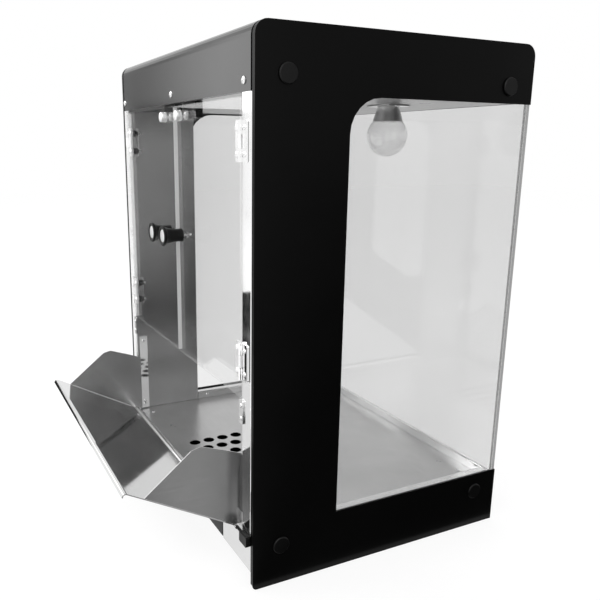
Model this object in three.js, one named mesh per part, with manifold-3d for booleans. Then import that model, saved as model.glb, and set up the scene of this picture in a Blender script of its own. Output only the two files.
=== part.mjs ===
import * as THREE from 'three';
import { mergeVertices } from 'three/addons/utils/BufferGeometryUtils.js';
import Module from 'manifold-3d';

// Popcorn display cabinet: black side panels and roof, steel front posts, glass on four sides, a pair
// of glass doors, a tilt-out serving tray below them, a perforated floor over a crumb drawer, and a lamp.
// Millimetres. X runs across the front, Y from front to back, Z up. The doors and the tray face -Y.

const wasm = await Module();
wasm.setup();

// Overall sizes
const cabinetWidth = 500;
const cabinetDepth = 386;
const cabinetHeight = 650;

// Sheets, glass and the clearance between pieces that touch
const seat = 0.3;
const blackSheet = 1.5;
const steelSheet = 1.2;
const sideGlassThickness = 4;
const rearGlassThickness = 5;
const doorGlassThickness = 5;
const overrun = 2;
const bendRadius = 2;
const weldTolerance = 1e-5;
const arcSteps = 6;
const roundSteps = 28;

// Side panels
const panelCorner = 15;
const panelFootCorner = 6;
const panelFlangeWidth = 16;
const panelFrontFlange = 6;
const shellGroove = 3.5;
const windowFront = 117;
const windowBottom = 78;
const windowTopMargin = 2;
const windowCorner = 40;
const capRadius = 11;
const capHeight = 2.6;
const capDome = 1;
const capInset = 38;
const capBottomHeight = 53;
const capTopDrop = 51;

// Header, ceiling and electric compartment
const headerHeight = 69;
const ceilingFlange = 20;
const ceilingRearFlange = 12;
const serviceBoxOffset = 150;
const serviceBoxDrop = 36;

// Base and floor
const baseHeight = 22;
const floorHeight = 62;
const floorFrontGap = 2.7;
const floorApronFlange = 10;
const apronNotchCorner = 2;
const apronTopGap = 0.5;
const holeDiameter = 18;
const holeColumnPitch = 26.4;
const holeRowPitch = 23.9;
const holeColumns = 5;
const holeRows = 7;
const holeFieldFront = 42;
const railWidth = 12;
const railHeight = 14;
const rearRailWidth = 4;

// Front posts and the columns behind them
const postSpan = 29.7;
const postReturn = 22;
const linerInset = 18;
const linerHem = 8;
const sideGlassLap = 11;

// Doors
const doorBottom = 238;
const doorTopGap = 4;
const doorMeetingGap = 2;
const doorPostGap = 2;
const doorEdgeCorner = 3;

// Hinges
const leafWidth = 15;
const leafHeight = 44;
const leafThickness = 1.2;
const leafCorner = 2;
const knuckleRadius = 2.5;
const hingePinRadius = 1.3;
const hingePinPlay = 0.25;
const knuckleShare = 1 / 3;
const upperHingeDrop = 46;
const lowerHingeRise = 47;

// Knobs and catches
const knobRise = 170;
const knobInset = 23.5;
const knobLength = 29;
const knobBaseRadius = 9.2;
const knobNeckRadius = 8.7;
const knobRimRadius = 13.5;
const knobFlareShare = 0.7;
const knobNeckShare = 0.4;
const knobDishRadius = 8.5;
const knobDishDepth = 2;
const knobScrewRadius = 2.5;
const knobNutRadius = 6;
const knobNutThickness = 3;
const stemPlay = 0.5;
const strikeDrop = 13;
const strikeInset = 30;
const strikeHeadRadius = 7;
const strikeHeadThickness = 9.5;
const strikeDiscRadius = 9;
const strikeDiscThickness = 2.5;
const catchWidth = 46;
const catchHeight = 20;
const catchDepth = 10;
const catchShift = 8;

// Tilt-out tray
const trayPivotHeight = 67.5;
const trayClearance = 7.3;
const trayOpenAngle = THREE.MathUtils.degToRad(61.2);
const trayKnuckleRadius = 2.5;
const trayPinRadius = 1.5;
const trayPinPlay = 0.25;
const trayPinReach = 9;
const trayPivotGap = 1.3;
const trayPanelLength = 160;
const trayLipRadius = 3;
const trayLipReach = 5;
const trayLipTurn = THREE.MathUtils.degToRad(105);
const wingFrontReach = 134;
const wingShoulder = 58;
const wingShoulderHeight = 114;
const wingCrest = 46;
const wingCrestHeight = 117;
const wingBack = 17;
const wingBackHeight = 107;
const wingEndHeight = 98;
const wingRootHeight = 5;
const wingCorner = 8;
const wingFlange = 13;
const wingFlangeRise = 21;
const pivotBlockInset = 3.7;
const pivotBlockHeight = 13;
const pivotBlockDrop = 4.5;
const pivotBlockThickness = 6;
const pivotBlockCorner = 1.5;
const trayCatchWidth = 10;
const trayCatchHeight = 30;
const trayCatchThickness = 1.6;
const trayCatchLap = 5.5;
const trayCatchGap = 0.5;
const stopStripWidth = 14;
const stopStripHeight = 134;
const stopStripThickness = 2;
const stopStripBottom = 64;
const stopStripSetback = 7;

// Crumb drawer
const drawerWidth = 316;
const drawerDepth = 170;
const drawerHeight = 28;
const drawerWall = 1.2;
const drawerFrontLip = 6;
const drawerSidePlay = 2;
const drawerTopPlay = 0.5;

// Lamp
const lampAcross = 120;
const lampBack = 70;
const globeRadius = 27.5;
const globeDrop = 40;
const bulbNeckRadius = 15;
const bulbNeckRise = 10;
const bulbCapRadius = 13;
const bulbCapLength = 24;
const bulbTipRadius = 5;
const bulbTipLength = 3;
const lampPlateLength = 48;
const lampPlateWidth = 42;
const lampPlateThickness = 1.5;
const lampPlateCorner = 6;
const lampPlatePlay = 0.6;
const lampHoleRadius = 19.5;
const holderWall = 5;
const holderFlange = 3;
const holderTopWall = 4;
const holderPlay = 0.3;

// Electric pieces in the roof
const inletWidth = 48;
const inletHeight = 27;
const inletBody = 22;
const inletCorner = 4;
const inletFace = 2;
const socketWidth = 24;
const socketHeight = 16;
const socketDepth = 14;
const switchShift = 62;
const switchWidth = 15;
const switchHeight = 26;
const switchBody = 14;
const rockerWidth = 10;
const rockerHeight = 18;
const rockerThickness = 6;
const rockerPocketPlay = 1;
const rockerTilt = THREE.MathUtils.degToRad(7);
const rockerPivotDepth = 2.2;
const rockerCrest = 1.8;
const terminalWidth = 44;
const terminalDepth = 18;
const terminalHeight = 14;
const terminalAcross = 20;
const terminalBack = 110;

// Places worked out from the sizes above
const halfWidth = cabinetWidth / 2;
const halfDepth = cabinetDepth / 2;
const panelInner = halfWidth - blackSheet;
const insideHalfWidth = panelInner - seat;
const glassInner = insideHalfWidth - sideGlassThickness;
const liningHalfWidth = glassInner - seat;
const shellFront = halfWidth - panelFrontFlange;
const postOuter = shellFront - seat;
const openingHalfWidth = halfWidth - postSpan;
const linerFace = halfWidth - linerInset;
const ceilingHeight = cabinetHeight - headerHeight;
const windowTop = ceilingHeight - windowTopMargin;
const windowFrontEdge = -halfDepth + windowFront;
const rearGlassFront = halfDepth - rearGlassThickness;
const postBack = -halfDepth + steelSheet;
const doorBack = -halfDepth + doorGlassThickness;
const doorTop = ceilingHeight - doorTopGap;
const knobHeight = doorBottom + knobRise;
const strikeHeight = doorTop - strikeDrop;
const doorOuterEdge = openingHalfWidth - doorPostGap;
const doorInnerEdge = doorMeetingGap / 2;
const hingeAxis = -halfDepth - seat - knuckleRadius;
const floorFront = -halfDepth + floorFrontGap;
const floorTop = floorHeight;
const pieceFloor = floorTop + seat;
const trayHalfWidth = openingHalfWidth - trayClearance;
const trayPivot = -halfDepth - trayKnuckleRadius - trayPivotGap;
const baseTop = baseHeight + steelSheet;
const drawerTop = baseTop + seat + drawerHeight;
const globeCentre = ceilingHeight - globeDrop;

const sides = [
  { word: 'left', sign: -1 },
  { word: 'right', sign: 1 },
];

// Finishes
const finishes = {
  blackPaint: { color: 0x0b0b0c, roughness: 0.42, metalness: 0.1 },
  steel: { color: 0xb9babc, roughness: 0.28, metalness: 1 },
  polishedSteel: { color: 0xd6d7d9, roughness: 0.12, metalness: 1 },
  glass: { color: 0xe9eeee, roughness: 0.04, metalness: 0, transparent: true, opacity: 0.25 },
  blackPlastic: { color: 0x101011, roughness: 0.35, metalness: 0 },
  chrome: { color: 0xe4e5e7, roughness: 0.08, metalness: 1 },
  whitePlastic: { color: 0xe6e4de, roughness: 0.5, metalness: 0 },
};

// Solids: the vertices of a closed mesh are merged before it is joined or cut
function toSolid(geometry) {
  const bare = geometry.clone();
  bare.deleteAttribute('normal');
  bare.deleteAttribute('uv');
  const merged = mergeVertices(bare, weldTolerance);
  const corners = merged.index.array;
  const kept = [];
  for (let first = 0; first < corners.length; first += 3) {
    const [a, b, c] = corners.slice(first, first + 3);
    if (a !== b && b !== c && c !== a) kept.push(a, b, c);
  }
  const mesh = new wasm.Mesh({
    numProp: 3,
    vertProperties: new Float32Array(merged.attributes.position.array),
    triVerts: new Uint32Array(kept),
  });
  return new wasm.Manifold(mesh);
}

function toGeometry(solid) {
  const mesh = solid.getMesh();
  const geometry = new THREE.BufferGeometry();
  geometry.setAttribute('position', new THREE.BufferAttribute(mesh.vertProperties, 3));
  geometry.setIndex(new THREE.BufferAttribute(mesh.triVerts, 1));
  geometry.computeVertexNormals();
  return geometry;
}

function join(...geometries) {
  const joined = geometries.map(toSolid).reduce((whole, piece) => whole.add(piece));
  return toGeometry(joined);
}

function cut(geometry, ...tools) {
  const remaining = tools.map(toSolid).reduce((whole, tool) => whole.subtract(tool), toSolid(geometry));
  return toGeometry(remaining);
}

// Spans are pairs of low and high places; mirrored spans swap for the left side
function span(sign, inner, outer) {
  return sign > 0 ? [inner, outer] : [-outer, -inner];
}

function about(centre, size) {
  return [centre - size / 2, centre + size / 2];
}

function box(xs, ys, zs) {
  const geometry = new THREE.BoxGeometry(xs[1] - xs[0], ys[1] - ys[0], zs[1] - zs[0]);
  return geometry.translate((xs[0] + xs[1]) / 2, (ys[0] + ys[1]) / 2, (zs[0] + zs[1]) / 2);
}

// A closed outline from corners [u, v, radius], with an arc at each corner that has a radius
function rounded(corners) {
  const places = corners.map(([u, v]) => new THREE.Vector2(u, v));
  const points = [];
  corners.forEach(([, , radius = 0], index) => {
    const corner = places[index];
    if (radius <= 0) {
      points.push(corner);
      return;
    }
    const back = places.at(index - 1).clone().sub(corner).normalize();
    const ahead = places[(index + 1) % places.length].clone().sub(corner).normalize();
    const halfAngle = Math.acos(back.dot(ahead)) / 2;
    const middle = back.clone().add(ahead).normalize();
    const centre = corner.clone().addScaledVector(middle, radius / Math.sin(halfAngle));
    const start = corner.clone().addScaledVector(back, radius / Math.tan(halfAngle));
    const turn = (Math.PI - 2 * halfAngle) * Math.sign(ahead.cross(back));
    for (let step = 0; step <= arcSteps; step += 1) {
      points.push(start.clone().rotateAround(centre, (turn * step) / arcSteps));
    }
  });
  return new THREE.Shape(points);
}

function rectangle(us, vs, radius = 0) {
  return rounded([
    [us[0], vs[0], radius],
    [us[1], vs[0], radius],
    [us[1], vs[1], radius],
    [us[0], vs[1], radius],
  ]);
}

// A bent sheet: the path is one face, and the other lies one thickness to its left
function bentSheet(path, thickness) {
  const places = path.map(([u, v]) => new THREE.Vector2(u, v));
  const directions = places.slice(1).map((place, index) => place.clone().sub(places[index]).normalize());
  const inner = places.map((place, index) => {
    const before = directions[Math.max(index - 1, 0)];
    const after = directions[Math.min(index, directions.length - 1)];
    const normals = [before, after].map((direction) => new THREE.Vector2(-direction.y, direction.x));
    const scale = thickness / (1 + normals[0].dot(normals[1]));
    const offset = normals[0].clone().add(normals[1]).multiplyScalar(scale);
    const bend = Math.sign(before.cross(after));
    const radius = path[index][2] ? Math.max(path[index][2] - bend * thickness, 0) : 0;
    return [place.x + offset.x, place.y + offset.y, radius];
  });
  return rounded([...path, ...inner.reverse()]);
}

// An outline drawn for the right side, mirrored for the left one
function mirrorFor(sign, shape) {
  const points = shape.getPoints().map((place) => new THREE.Vector2(sign * place.x, place.y));
  return new THREE.Shape(points);
}

// Profiles carried along each axis
function extrude(shape, depth) {
  return new THREE.ExtrudeGeometry(shape, { depth, bevelEnabled: false, curveSegments: arcSteps });
}

function alongX(shape, xs) {
  const turned = new THREE.Matrix4().makeBasis(
    new THREE.Vector3(0, 1, 0),
    new THREE.Vector3(0, 0, 1),
    new THREE.Vector3(1, 0, 0),
  );
  return extrude(shape, xs[1] - xs[0]).applyMatrix4(turned).translate(xs[0], 0, 0);
}

function alongY(shape, ys) {
  return extrude(shape, ys[1] - ys[0]).rotateX(Math.PI / 2).translate(0, ys[1], 0);
}

function alongZ(shape, zs) {
  return extrude(shape, zs[1] - zs[0]).translate(0, 0, zs[0]);
}

function disc(radius, holeRadius = 0) {
  const circle = new THREE.Shape().absarc(0, 0, radius, 0, 2 * Math.PI);
  if (holeRadius > 0) circle.holes.push(new THREE.Path().absarc(0, 0, holeRadius, 0, 2 * Math.PI, true));
  return circle;
}

function rod(radius, zs, holeRadius = 0) {
  const geometry = new THREE.ExtrudeGeometry(disc(radius, holeRadius), {
    depth: zs[1] - zs[0],
    bevelEnabled: false,
    curveSegments: roundSteps / 2,
  });
  return geometry.translate(0, 0, zs[0]);
}

function turned(profile) {
  return new THREE.LatheGeometry(profile.map(([r, h]) => new THREE.Vector2(r, h)), roundSteps);
}

// Lathe profiles run along +Y; this turns the axis to point up
function upright(geometry) {
  return geometry.rotateX(Math.PI / 2);
}

function piece(name, geometry, finish) {
  const mesh = new THREE.Mesh(geometry, new THREE.MeshStandardMaterial(finishes[finish]));
  mesh.name = name;
  return mesh;
}

// Black shell: a panel on each side with a window open at the back, and a roof bent down at both ends
function shellProfile(depth, rearFoot, frontFoot) {
  const corner = panelCorner - depth;
  return bentSheet([
    [halfDepth - depth, rearFoot],
    [halfDepth - depth, cabinetHeight - depth, corner],
    [-halfDepth + depth, cabinetHeight - depth, corner],
    [-halfDepth + depth, frontFoot],
  ], blackSheet);
}

function sidePanel({ word, sign }) {
  const outline = rounded([
    [-halfDepth, 0, panelFootCorner],
    [halfDepth, 0],
    [halfDepth, windowBottom],
    [windowFrontEdge, windowBottom],
    [windowFrontEdge, windowTop, windowCorner],
    [halfDepth, windowTop],
    [halfDepth, cabinetHeight, panelCorner],
    [-halfDepth, cabinetHeight, panelCorner],
  ]);
  const sheet = alongX(outline, span(sign, panelInner, halfWidth));
  const flangeEnds = [-halfDepth + panelFootCorner, halfDepth - blackSheet];
  const foot = box(span(sign, halfWidth - panelFlangeWidth, halfWidth), flangeEnds, [0, blackSheet]);
  const rim = alongX(shellProfile(0, ceilingHeight, panelFootCorner), span(sign, shellFront, halfWidth));
  return piece(`side_panel_${word}`, join(sheet, foot, rim), 'blackPaint');
}

function panelCaps({ word, sign }) {
  const rows = { bottom: capBottomHeight, top: cabinetHeight - capTopDrop };
  const columns = { front: -halfDepth + capInset, rear: halfDepth - capInset };
  return Object.entries(rows).flatMap(([row, z]) => Object.entries(columns).map(([column, y]) => {
    const profile = [[0, 0], [capRadius, 0], [capRadius, capHeight - capDome], [capRadius - capDome, capHeight]];
    const cap = turned([...profile, [0, capHeight]]);
    const mesh = piece(`panel_cap_${word}_${row}_${column}`, cap, 'blackPlastic');
    mesh.rotation.z = -sign * Math.PI / 2;
    mesh.position.set(sign * (halfWidth + seat), y, z);
    return mesh;
  }));
}

function serviceOpening(centre, width, height) {
  const drop = cabinetHeight - serviceBoxDrop;
  return box(about(centre, width), [rearGlassFront, halfDepth + overrun], about(drop, height));
}

function roofCover() {
  const sheetEnd = shellFront - shellGroove;
  const sheet = alongX(shellProfile(0, ceilingHeight, ceilingHeight), [-sheetEnd, sheetEnd]);
  const foot = ceilingHeight + blackSheet;
  const steps = sides.flatMap(({ sign }) => [
    alongX(shellProfile(blackSheet / 2, foot, foot), span(sign, sheetEnd - blackSheet, sheetEnd - seat)),
    alongX(shellProfile(blackSheet + seat, foot, foot), span(sign, sheetEnd - 2 * blackSheet, insideHalfWidth)),
  ]);
  const inletOpening = serviceOpening(serviceBoxOffset, inletWidth - inletCorner * 2, inletHeight - inletCorner);
  const switchOpening = serviceOpening(
    serviceBoxOffset - switchShift,
    rockerWidth + rockerPocketPlay * 2,
    rockerHeight + rockerPocketPlay * 2,
  );
  return piece('roof_cover', cut(join(sheet, ...steps), inletOpening, switchOpening), 'blackPaint');
}

function ceilingPanel() {
  const front = -halfDepth + 2 * (blackSheet + seat);
  const back = rearGlassFront - seat;
  const profile = bentSheet([
    [front, ceilingHeight + ceilingFlange],
    [front, ceilingHeight, bendRadius],
    [back, ceilingHeight, bendRadius],
    [back, ceilingHeight + ceilingRearFlange],
  ], steelSheet);
  const sheet = alongX(profile, [-liningHalfWidth, liningHalfWidth]);
  const hole = rod(lampHoleRadius, [ceilingHeight - overrun, ceilingHeight + overrun + steelSheet]);
  return piece('ceiling_panel', cut(sheet, hole.translate(lampAcross, lampBack, 0)), 'steel');
}

// Steel posts beside the opening, and the lining of the hollow column behind each
function frontPost({ word, sign }) {
  const path = [
    [postOuter, -halfDepth + postReturn],
    [postOuter, -halfDepth, bendRadius],
    [openingHalfWidth, -halfDepth],
  ];
  const outline = mirrorFor(sign, bentSheet(path, -steelSheet));
  const heights = [pieceFloor, ceilingHeight - seat];
  return piece(`front_post_${word}`, alongZ(outline, heights), 'polishedSteel');
}

function columnLiner({ word, sign }) {
  const path = [
    [glassInner - seat, windowFrontEdge],
    [linerFace, windowFrontEdge, bendRadius],
    [linerFace, postBack + seat],
    [linerFace + linerHem, postBack + seat],
  ];
  const outline = mirrorFor(sign, bentSheet(path, steelSheet));
  return piece(`column_liner_${word}`, alongZ(outline, [pieceFloor, ceilingHeight - seat]), 'steel');
}

// Fixed glass on both sides and at the back, with the rails along its foot
function sideGlass({ word, sign }) {
  const ys = [windowFrontEdge - sideGlassLap, rearGlassFront - seat];
  const zs = [baseTop + seat, ceilingHeight + ceilingRearFlange];
  return piece(`side_glass_${word}`, box(span(sign, glassInner, insideHalfWidth), ys, zs), 'glass');
}

function rearGlass() {
  const zs = [floorTop + seat, ceilingHeight - seat];
  return piece('rear_glass', box([-insideHalfWidth, insideHalfWidth], [rearGlassFront, halfDepth], zs), 'glass');
}

function sideRail({ word, sign }) {
  const [low, high] = span(sign, liningHalfWidth - railWidth, liningHalfWidth);
  const profile = bentSheet([
    [high, pieceFloor],
    [high, pieceFloor + railHeight, bendRadius],
    [low, pieceFloor + railHeight, bendRadius],
    [low, pieceFloor],
  ], steelSheet);
  const ys = [windowFrontEdge + seat, rearGlassFront - rearRailWidth - 2 * seat];
  return piece(`glass_rail_${word}`, alongY(profile, ys), 'polishedSteel');
}

function rearRail() {
  const back = rearGlassFront - seat;
  const outline = rounded([
    [back - rearRailWidth, pieceFloor],
    [back, pieceFloor],
    [back, pieceFloor + railHeight],
    [back - rearRailWidth, pieceFloor + railHeight, bendRadius],
  ]);
  return piece('glass_rail_rear', alongX(outline, [-liningHalfWidth, liningHalfWidth]), 'polishedSteel');
}

// Base: a pan on the side panels' flanges, the perforated floor above it and an apron at each end
function basePan() {
  const profile = bentSheet([
    [-insideHalfWidth, blackSheet + seat],
    [-insideHalfWidth, baseTop, bendRadius],
    [insideHalfWidth, baseTop, bendRadius],
    [insideHalfWidth, blackSheet + seat],
  ], -steelSheet);
  const ys = [-halfDepth + blackSheet + seat, halfDepth - steelSheet - seat];
  return piece('base_pan', alongY(profile, ys), 'steel');
}

function floorHoles() {
  const holes = [];
  for (let column = 0; column < holeColumns; column += 1) {
    const staggered = column % 2;
    const x = (column - (holeColumns - 1) / 2) * holeColumnPitch;
    for (let row = 0; row < holeRows - staggered; row += 1) {
      const y = -halfDepth + holeFieldFront + (row + staggered / 2) * holeRowPitch;
      holes.push(new THREE.Path().absarc(x, y, holeDiameter / 2, 0, 2 * Math.PI, true));
    }
  }
  return holes;
}

function perforatedFloor() {
  const back = rearGlassFront - seat;
  const plate = rectangle([-liningHalfWidth, liningHalfWidth], [floorFront, back]);
  plate.holes.push(...floorHoles());
  const top = alongZ(plate, [floorTop - steelSheet, floorTop]);
  const frontFlange = box(
    [-liningHalfWidth, liningHalfWidth],
    [floorFront, floorFront + steelSheet],
    [floorTop - floorApronFlange, floorTop],
  );
  const legs = sides.map(({ sign }) => box(
    span(sign, liningHalfWidth - steelSheet, liningHalfWidth),
    [floorFront, back],
    [baseTop + seat, floorTop],
  ));
  return piece('perforated_floor', join(top, frontFlange, ...legs), 'steel');
}

function frontApron() {
  const halfNotch = drawerWidth / 2 + drawerSidePlay;
  const top = floorTop - apronTopGap;
  const notchTop = drawerTop + drawerTopPlay;
  const outerEdge = postOuter;
  const outline = rounded([
    [-outerEdge, baseHeight],
    [-halfNotch, baseHeight],
    [-halfNotch, notchTop, apronNotchCorner],
    [halfNotch, notchTop, apronNotchCorner],
    [halfNotch, baseHeight],
    [outerEdge, baseHeight],
    [outerEdge, top],
    [-outerEdge, top],
  ]);
  return piece('front_apron', alongY(outline, [-halfDepth, postBack]), 'polishedSteel');
}

function rearApron() {
  const profile = bentSheet([
    [halfDepth, baseHeight],
    [halfDepth, floorTop, bendRadius],
    [rearGlassFront, floorTop],
  ], steelSheet);
  return piece('rear_apron', alongX(profile, [-insideHalfWidth, insideHalfWidth]), 'blackPaint');
}

// Doors: a frameless sheet of glass on two butt hinges, with a knob and the strike of a magnetic catch
function doorGlass({ word, sign }) {
  const sheet = alongY(
    rectangle(span(sign, doorInnerEdge, doorOuterEdge), [doorBottom, doorTop], doorEdgeCorner),
    [-halfDepth, doorBack],
  );
  const places = [[knobInset, knobHeight], [strikeInset, strikeHeight]];
  const holes = places.map(([x, z]) => {
    const hole = rod(knobScrewRadius + stemPlay, [-overrun, doorGlassThickness + overrun]);
    return hole.rotateX(-Math.PI / 2).translate(sign * x, -halfDepth, z);
  });
  return piece(`door_glass_${word}`, cut(sheet, ...holes), 'glass');
}

// A leaf reaches from the knuckle's axis, at x = 0, towards its own plate along +X
function hingeLeaf(reach) {
  const face = knuckleRadius - leafThickness;
  return alongY(rectangle([0, reach], about(0, leafHeight), leafCorner), [face, face + leafThickness]);
}

function postLeafGeometry() {
  const end = leafHeight / 2;
  const middle = (leafHeight * knuckleShare) / 2;
  const clearing = box(
    [-knuckleRadius - overrun, knuckleRadius + seat],
    [-knuckleRadius - overrun, knuckleRadius + overrun],
    [-middle - seat, middle + seat],
  );
  const leaf = cut(join(hingeLeaf(leafWidth), rod(knuckleRadius, [-end, end])), clearing);
  return join(leaf, rod(hingePinRadius, [-end, end]));
}

function doorLeafGeometry() {
  const middle = (leafHeight * knuckleShare) / 2;
  const end = leafHeight / 2;
  const clearings = [[-end - overrun, -middle], [middle, end + overrun]].map((zs) => box(
    [-knuckleRadius - overrun, knuckleRadius + seat],
    [-knuckleRadius - overrun, knuckleRadius + overrun],
    zs,
  ));
  const leaf = cut(join(hingeLeaf(leafWidth), rod(knuckleRadius, [-middle, middle])), ...clearings);
  return cut(leaf, rod(hingePinRadius + hingePinPlay, [-middle - overrun, middle + overrun]));
}

function mirrorAcross(geometry) {
  return toGeometry(toSolid(geometry).mirror([1, 0, 0]));
}

function hinges({ word, sign }, kind) {
  const rows = { upper: doorTop - upperHingeDrop, lower: doorBottom + lowerHingeRise };
  return Object.entries(rows).map(([row, z]) => {
    const onPost = kind === 'post';
    const shape = onPost ? postLeafGeometry() : doorLeafGeometry();
    const reachesRight = onPost ? sign > 0 : sign < 0;
    const leaf = piece(`hinge_${kind}_leaf_${word}_${row}`, reachesRight ? shape : mirrorAcross(shape), 'chrome');
    leaf.position.set(sign * openingHalfWidth, hingeAxis, z);
    return leaf;
  });
}

// A knob or strike is turned about the line through its hole; heights run inwards from the glass's front
function doorKnob({ word, sign }) {
  const inside = doorGlassThickness + seat;
  const profile = [
    [0, -knobLength + knobDishDepth],
    [knobDishRadius, -knobLength + knobDishDepth],
    [knobDishRadius, -knobLength],
    [knobRimRadius, -knobLength],
    [knobRimRadius, -knobLength + knobDishDepth],
    [(knobRimRadius + knobNeckRadius) / 2, -knobLength * knobFlareShare],
    [knobNeckRadius, -knobLength * knobNeckShare],
    [knobNeckRadius, -knobBaseRadius / 2],
    [knobBaseRadius, -knobDishDepth],
    [knobBaseRadius, -seat],
    [knobScrewRadius, -seat],
    [knobScrewRadius, inside],
    [knobNutRadius, inside],
    [knobNutRadius, inside + knobNutThickness],
    [0, inside + knobNutThickness],
  ];
  const knob = piece(`door_knob_${word}`, turned(profile), 'blackPlastic');
  knob.position.set(sign * knobInset, -halfDepth, knobHeight);
  return knob;
}

function doorStrike({ word, sign }) {
  const inside = doorGlassThickness + seat;
  const profile = [
    [0, -seat - strikeHeadThickness],
    [strikeHeadRadius / 2, -seat - strikeHeadThickness],
    [strikeHeadRadius, -seat - strikeHeadThickness / 2],
    [strikeHeadRadius, -seat],
    [knobScrewRadius, -seat],
    [knobScrewRadius, inside],
    [strikeDiscRadius, inside],
    [strikeDiscRadius, inside + strikeDiscThickness],
    [0, inside + strikeDiscThickness],
  ];
  const strike = piece(`door_strike_${word}`, turned(profile), 'chrome');
  strike.position.set(sign * strikeInset, -halfDepth, strikeHeight);
  return strike;
}

function magneticCatch({ word, sign }) {
  const front = doorBack + strikeDiscThickness + 2 * seat;
  const top = ceilingHeight - seat;
  const xs = about(sign * (strikeInset + catchShift), catchWidth);
  const body = box(xs, [front, front + catchDepth], [top - catchHeight, top]);
  return piece(`magnetic_catch_${word}`, body, 'blackPlastic');
}

// Tray: a front panel with a curled lip and a rolled root on two pivot pins, and a wing at each end
function trayPanel() {
  const lipDirection = Math.PI / 2 + trayLipTurn;
  const corner = [trayKnuckleRadius - steelSheet, trayPanelLength];
  const path = [
    [corner[0], 0],
    [corner[0], corner[1], trayLipRadius],
    [corner[0] + trayLipReach * Math.cos(lipDirection), corner[1] + trayLipReach * Math.sin(lipDirection)],
  ];
  const sheet = alongX(bentSheet(path, -steelSheet), [-trayHalfWidth, trayHalfWidth]);
  const root = rod(trayKnuckleRadius, [-trayHalfWidth, trayHalfWidth]).rotateY(Math.PI / 2);
  const boreReach = trayPinReach + seat;
  const bores = sides.map(({ sign }) => {
    const ends = span(sign, trayHalfWidth - boreReach, trayHalfWidth + overrun);
    return rod(trayPinRadius + trayPinPlay, ends).rotateY(Math.PI / 2);
  });
  const panel = piece('tray_panel', cut(join(sheet, root), ...bores), 'polishedSteel');
  panel.rotation.x = trayOpenAngle;
  return panel;
}

// The wing is drawn in the open position, from the pivot: its back edge rests behind the post
function trayWing({ word, sign }) {
  const along = new THREE.Vector2(-Math.sin(trayOpenAngle), Math.cos(trayOpenAngle));
  const inwards = new THREE.Vector2(Math.cos(trayOpenAngle), Math.sin(trayOpenAngle));
  const onPanel = (reach) => {
    const place = along.clone().multiplyScalar(reach);
    return place.addScaledVector(inwards, trayKnuckleRadius + seat).toArray();
  };
  const stop = postBack + seat - trayPivot;
  const back = stop + steelSheet;
  const outline = rounded([
    [back, wingRootHeight],
    [back, wingEndHeight],
    [-wingBack, wingBackHeight, wingCorner],
    [-wingCrest, wingCrestHeight, wingCorner],
    [-wingShoulder, wingShoulderHeight, wingCorner],
    onPanel(wingFrontReach),
    onPanel(trayKnuckleRadius * 2 + seat),
  ]);
  const outer = trayHalfWidth;
  const sheet = alongX(outline, span(sign, outer - steelSheet, outer));
  const flange = box(
    span(sign, outer - steelSheet, outer + wingFlange),
    [stop, back],
    [wingFlangeRise, wingEndHeight - seat],
  );
  return piece(`tray_wing_${word}`, join(sheet, flange), 'steel');
}

function trayPivotBlock({ word, sign }) {
  const inner = openingHalfWidth + pivotBlockInset;
  const front = -halfDepth - seat - pivotBlockThickness;
  const zs = about(trayPivotHeight - pivotBlockDrop, pivotBlockHeight);
  const outline = rectangle(span(sign, inner, postOuter), zs, pivotBlockCorner);
  const body = alongY(outline, [front, front + pivotBlockThickness]);
  const pinEnds = span(sign, trayHalfWidth - trayPinReach, inner + pivotBlockInset);
  const pin = rod(trayPinRadius, pinEnds).rotateY(Math.PI / 2).translate(0, trayPivot, trayPivotHeight);
  return piece(`tray_pivot_${word}`, join(body, pin), 'blackPlastic');
}

function trayCatch({ word, sign }) {
  const inner = openingHalfWidth - trayCatchLap;
  const ys = [-halfDepth - seat - trayCatchThickness, -halfDepth - seat];
  const top = doorBottom - trayCatchGap;
  const outline = rectangle(span(sign, inner, inner + trayCatchWidth), [top - trayCatchHeight, top], leafCorner);
  const plate = alongY(outline, ys);
  return piece(`tray_catch_${word}`, plate, 'chrome');
}

function trayStopStrip({ word, sign }) {
  const xs = span(sign, linerFace - seat - stopStripThickness, linerFace - seat);
  const front = -halfDepth + stopStripSetback;
  const zs = [stopStripBottom, stopStripBottom + stopStripHeight];
  return piece(`tray_guide_${word}`, box(xs, [front, front + stopStripWidth], zs), 'polishedSteel');
}

// Crumb drawer: an open box that slides out of the notch in the apron
function crumbDrawer() {
  const xs = about(0, drawerWidth);
  const ys = [-halfDepth, -halfDepth + drawerDepth];
  const zs = [drawerTop - drawerHeight, drawerTop];
  const hollow = box(
    [xs[0] + drawerWall, xs[1] - drawerWall],
    [ys[0] + drawerWall, ys[1] - drawerWall],
    [zs[0] + drawerWall, zs[1] + overrun],
  );
  const frontLip = box(xs, [ys[0], ys[0] + drawerFrontLip], [zs[1] - drawerWall, zs[1]]);
  return piece('crumb_drawer', join(cut(box(xs, ys, zs), hollow), frontLip), 'blackPaint');
}

// Lamp: a bulb hangs through the ceiling from a holder that a plate carries
function lampPlate() {
  const shape = rectangle(about(0, lampPlateLength), about(0, lampPlateWidth), lampPlateCorner);
  shape.holes.push(new THREE.Path().absarc(0, 0, bulbNeckRadius + lampPlatePlay, 0, 2 * Math.PI, true));
  const top = ceilingHeight - seat;
  const plate = piece('lamp_plate', alongZ(shape, [top - lampPlateThickness, top]), 'polishedSteel');
  plate.position.set(lampAcross, lampBack, 0);
  return plate;
}

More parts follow.
